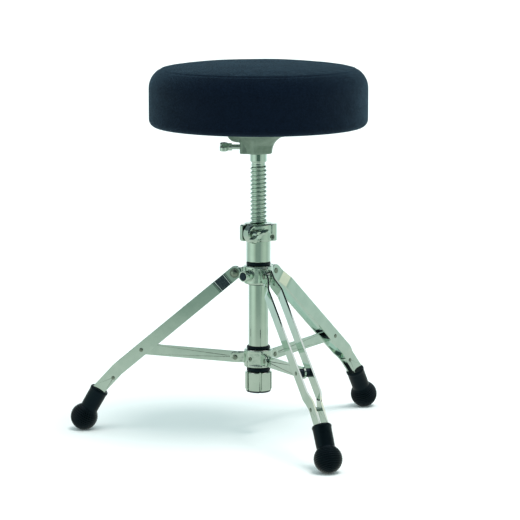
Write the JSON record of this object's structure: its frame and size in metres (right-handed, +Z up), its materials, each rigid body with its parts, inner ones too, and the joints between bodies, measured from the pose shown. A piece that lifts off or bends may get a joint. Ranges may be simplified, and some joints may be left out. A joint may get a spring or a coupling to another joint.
{
  "type": "drum throne",
  "caption": "Round padded drum throne that screws up and down on a threaded spindle, over a folding tripod with double strap legs and ball feet.",
  "frame": {"origin": "on the floor, at the centre of the footprint's bounding box; the column and seat axis stands 66.2 mm along +Y from it", "axes": "+Z up along the column; -Y towards the front leg; legs at 30, 150 and 270 degrees from +X"},
  "size_m": [0.5296, 0.4724, 0.589],
  "materials": {
    "chrome_tube": "polished chrome plate",
    "chrome_strap": "chrome plate on rolled strip, with fine rolling lines",
    "chrome_casting": "chrome plate on die-cast metal, softly rounded",
    "chrome_spindle": "chrome plate on a rolled screw thread",
    "bare_casting": "bare cast metal, matte grey",
    "wing_steel": "chrome plate on a pressed wing",
    "steel_fastener": "turned steel",
    "dark_screw": "blackened steel",
    "black_rubber": "moulded black rubber",
    "black_plastic": "moulded black plastic",
    "guide_plastic": "natural nylon",
    "nut_brass": "turned brass",
    "seat_cloth": "fine woven cloth, blue-black, with a faint nap",
    "seat_foam": "open-cell foam",
    "seat_plywood": "birch plywood",
    "seat_lining": "thin non-woven lining"
  },
  "bodies": {
    "column": {"lower_tube": "chrome_tube", "upper_tube": "chrome_tube", "spindle_nut": "nut_brass", "top_bumper": "black_rubber", "middle_bumper": "black_rubber", "lower_bumper": "black_rubber", "lower_bracket": "chrome_casting", "lower_bracket_screw": "steel_fastener", "brace_pivot_pins": "steel_fastener", "end_sleeve": "chrome_tube", "end_cap": "black_plastic", "clamp_collar": "chrome_casting", "clamp_lock_nut": "steel_fastener", "clamp_washer": "steel_fastener", "clamp_key_screw": "steel_fastener"},
    "clamp_wing": {"clamp_wing": "chrome_casting"},
    "sliding_bracket": {"upper_bracket": "chrome_casting", "bracket_bushing": "black_plastic", "boss_plug": "black_plastic", "leg_pivot_pins": "steel_fastener"},
    "spindle_guide": {"spindle_guide": "guide_plastic"},
    "spindle": {"spindle": "chrome_spindle", "guide_bolt": "steel_fastener"},
    "seat": {"seat_cover": "seat_cloth", "seat_foam": "seat_foam", "seat_board": "seat_plywood", "seat_underside": "seat_lining", "seat_casting": "bare_casting", "seat_screws": "dark_screw"},
    "seat_wing": {"seat_wing": "wing_steel"},
    "leg_1": {"leg_1_strap_left": "chrome_strap", "leg_1_strap_right": "chrome_strap", "leg_1_knee_rivets": "steel_fastener", "leg_1_foot_spacer": "chrome_strap", "leg_1_foot_rivet": "steel_fastener", "leg_1_foot": "black_rubber"},
    "brace_1": {"brace_1": "chrome_strap", "brace_1_washers": "black_plastic", "brace_1_rivet": "steel_fastener"},
    "leg_2": {"leg_2_strap_left": "chrome_strap", "leg_2_strap_right": "chrome_strap", "leg_2_knee_rivets": "steel_fastener", "leg_2_foot_spacer": "chrome_strap", "leg_2_foot_rivet": "steel_fastener", "leg_2_foot": "black_rubber"},
    "brace_2": {"brace_2": "chrome_strap", "brace_2_washers": "black_plastic", "brace_2_rivet": "steel_fastener"},
    "leg_3": {"leg_3_strap_left": "chrome_strap", "leg_3_strap_right": "chrome_strap", "leg_3_knee_rivets": "steel_fastener", "leg_3_foot_spacer": "chrome_strap", "leg_3_foot_rivet": "steel_fastener", "leg_3_foot": "black_rubber"},
    "brace_3": {"brace_3": "chrome_strap", "brace_3_washers": "black_plastic", "brace_3_rivet": "steel_fastener"}
  },
  "joints": [
    {"name": "leg_fold", "type": "slide", "parent": "column", "child": "sliding_bracket", "axis": [0, 0, -1], "range_m": [0, 0.08865]},
    {"name": "leg_1_swing", "type": "hinge", "parent": "sliding_bracket", "child": "leg_1", "pos_m": [-0.03204, 0.08472, 0.25859], "axis": [-0.5, -0.866, 0], "range_deg": [0, 46.85]},
    {"name": "brace_1_swing", "type": "hinge", "parent": "column", "child": "brace_1", "pos_m": [-0.03161, 0.08447, 0.12473], "axis": [-0.5, -0.866, 0], "range_deg": [0, 89.25]},
    {"name": "leg_2_swing", "type": "hinge", "parent": "sliding_bracket", "child": "leg_2", "pos_m": [0, 0.02923, 0.25859], "axis": [1, 0, 0], "range_deg": [0, 46.85]},
    {"name": "brace_2_swing", "type": "hinge", "parent": "column", "child": "brace_2", "pos_m": [0, 0.02973, 0.12473], "axis": [1, 0, 0], "range_deg": [0, 89.25]},
    {"name": "leg_3_swing", "type": "hinge", "parent": "sliding_bracket", "child": "leg_3", "pos_m": [0.03204, 0.08472, 0.25859], "axis": [-0.5, 0.866, 0], "range_deg": [0, 46.85]},
    {"name": "brace_3_swing", "type": "hinge", "parent": "column", "child": "brace_3", "pos_m": [0.03161, 0.08447, 0.12473], "axis": [-0.5, 0.866, 0], "range_deg": [0, 89.25]},
    {"name": "seat_height", "type": "slide", "parent": "column", "child": "spindle_guide", "axis": [0, 0, 1], "range_m": [-0.0975, 0.052]},
    {"name": "spindle_turn", "type": "hinge", "parent": "spindle_guide", "child": "spindle", "pos_m": [0, 0.06623, 0.3], "axis": [0, 0, 1], "range_deg": [-5401, 2881]},
    {"name": "seat_swivel", "type": "hinge", "parent": "spindle", "child": "seat", "pos_m": [0, 0.06623, 0.46], "axis": [0, 0, 1], "continuous": true},
    {"name": "seat_wing_turn", "type": "hinge", "parent": "seat", "child": "seat_wing", "pos_m": [-0.04652, 0.08455, 0.457], "axis": [-0.9304, 0.3665, 0], "range_deg": [0, 720]},
    {"name": "clamp_wing_turn", "type": "hinge", "parent": "column", "child": "clamp_wing", "pos_m": [-0.01847, 0.06179, 0.32259], "axis": [0.2334, -0.9724, 0], "range_deg": [0, 720]}
  ],
  "couplings": [
    {"joint": "leg_1_swing", "follows": "leg_fold", "rad_per_m": 9.2143},
    {"joint": "brace_1_swing", "follows": "leg_fold", "rad_per_m": 17.562},
    {"joint": "leg_2_swing", "follows": "leg_fold", "rad_per_m": 9.2143},
    {"joint": "brace_2_swing", "follows": "leg_fold", "rad_per_m": 17.562},
    {"joint": "leg_3_swing", "follows": "leg_fold", "rad_per_m": 9.2143},
    {"joint": "brace_3_swing", "follows": "leg_fold", "rad_per_m": 17.562},
    {"joint": "spindle_turn", "follows": "seat_height", "rad_per_m": 966.64}
  ]
}
